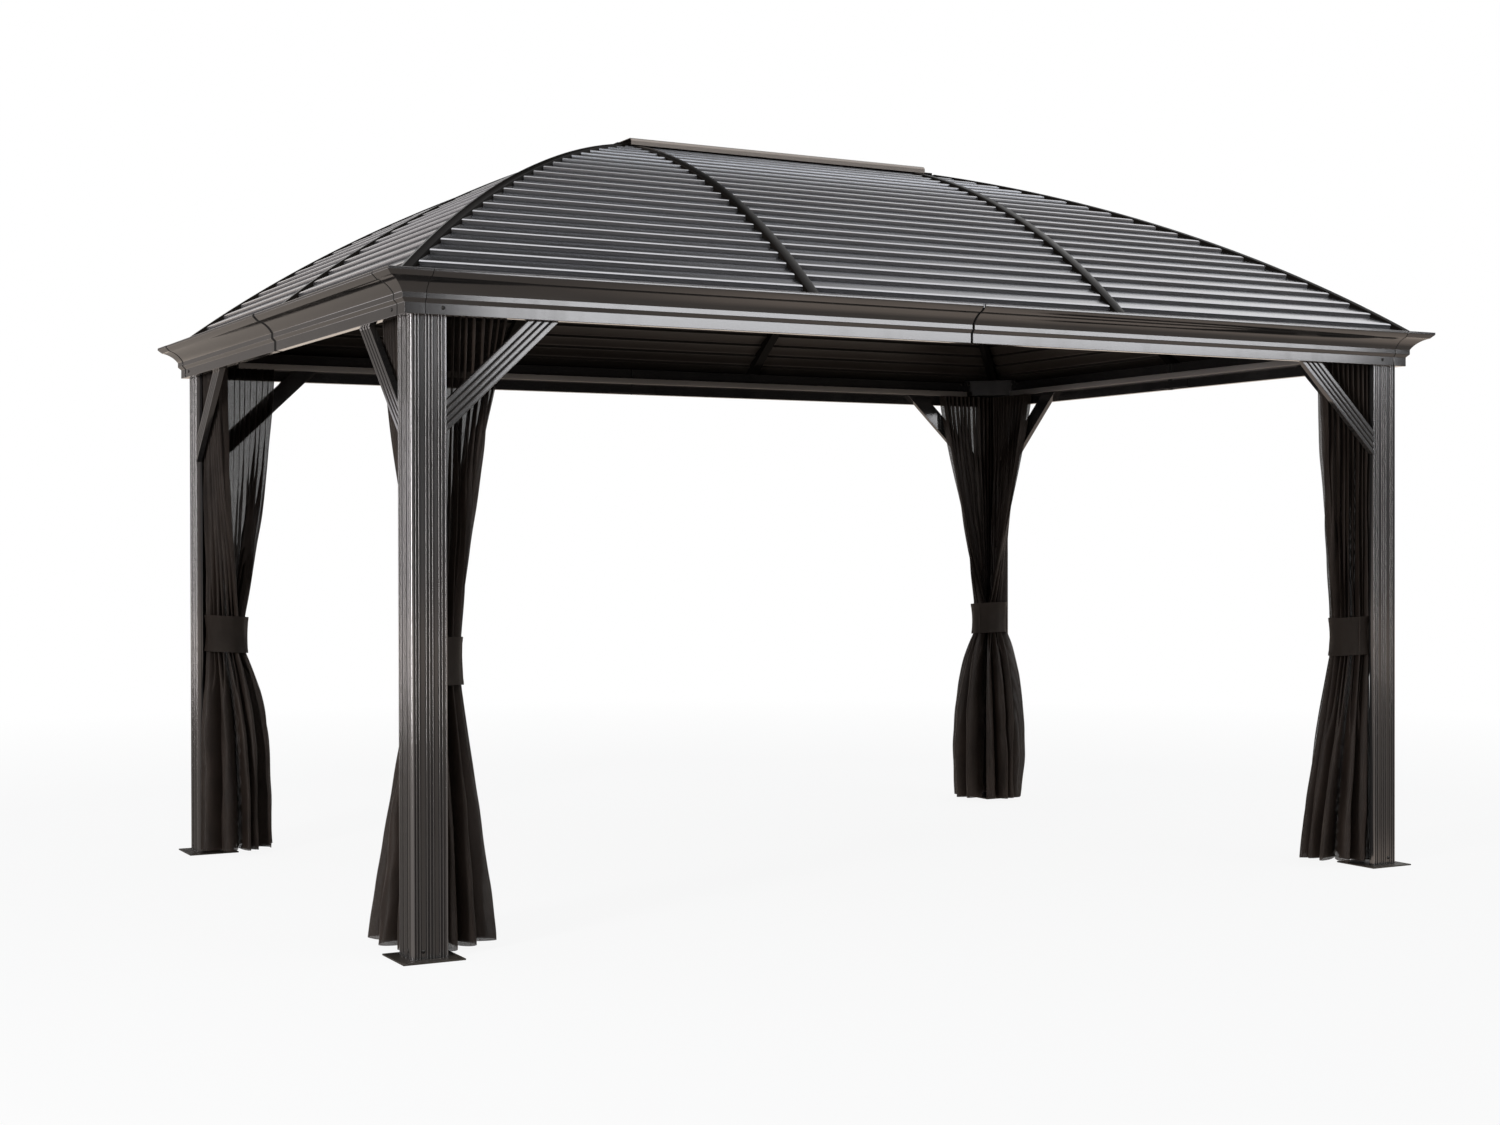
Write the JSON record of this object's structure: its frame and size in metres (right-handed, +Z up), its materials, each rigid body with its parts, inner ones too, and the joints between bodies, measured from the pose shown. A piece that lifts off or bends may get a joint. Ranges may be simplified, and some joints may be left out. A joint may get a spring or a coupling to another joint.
{
  "type": "metal garden gazebo",
  "caption": "Hard-top metal gazebo with a curved hip roof of lapped sheets between ribs, angle posts with knee braces, a crown-moulded beam ring and tied-back netting.",
  "frame": {"origin": "middle of the plan at ground level", "axes": "+X along the long sides, +Y from the front long side to the back one, +Z up"},
  "size_m": [4.3, 2.96, 2.86],
  "materials": {
    "frame": "satin powder coat, dark bronze grey",
    "roof_ribs": "satin powder coat, dark bronze grey",
    "roof_sheets": "semi-gloss coated steel sheet, slate grey",
    "foot_plates": "satin powder coat",
    "netting": "fine dark brown polyester mesh, gathered",
    "tie_bands": "dark brown woven band"
  },
  "bodies": {
    "root": {"beam_back_left": "frame", "beam_back_right": "frame", "beam_front_left": "frame", "beam_front_right": "frame", "beam_left_back": "frame", "beam_left_front": "frame", "beam_right_back": "frame", "beam_right_front": "frame", "beam_splices": "frame", "corner_back_left": "frame", "corner_back_right": "frame", "corner_front_left": "frame", "corner_front_right": "frame", "corner_gussets": "frame", "curtain_rails": "frame", "foot_plates": "foot_plates", "hip_back_left": "roof_ribs", "hip_back_right": "roof_ribs", "hip_front_left": "roof_ribs", "hip_front_right": "roof_ribs", "knee_braces_back_left": "frame", "knee_braces_back_right": "frame", "knee_braces_front_left": "frame", "knee_braces_front_right": "frame", "netting_back_left": "netting", "netting_back_right": "netting", "netting_front_left": "netting", "netting_front_right": "netting", "panel_back_left": "roof_sheets", "panel_back_middle": "roof_sheets", "panel_back_right": "roof_sheets", "panel_front_left": "roof_sheets", "panel_front_middle": "roof_sheets", "panel_front_right": "roof_sheets", "panel_left_back": "roof_sheets", "panel_left_front": "roof_sheets", "panel_right_back": "roof_sheets", "panel_right_front": "roof_sheets", "post_back_left": "frame", "post_back_right": "frame", "post_front_left": "frame", "post_front_right": "frame", "rib_back_left": "roof_ribs", "rib_back_right": "roof_ribs", "rib_front_left": "roof_ribs", "rib_front_right": "roof_ribs", "rib_left": "roof_ribs", "rib_right": "roof_ribs", "ridge_beam": "roof_ribs", "ridge_cap": "roof_ribs", "tie_bands": "tie_bands"}
  },
  "joints": []
}
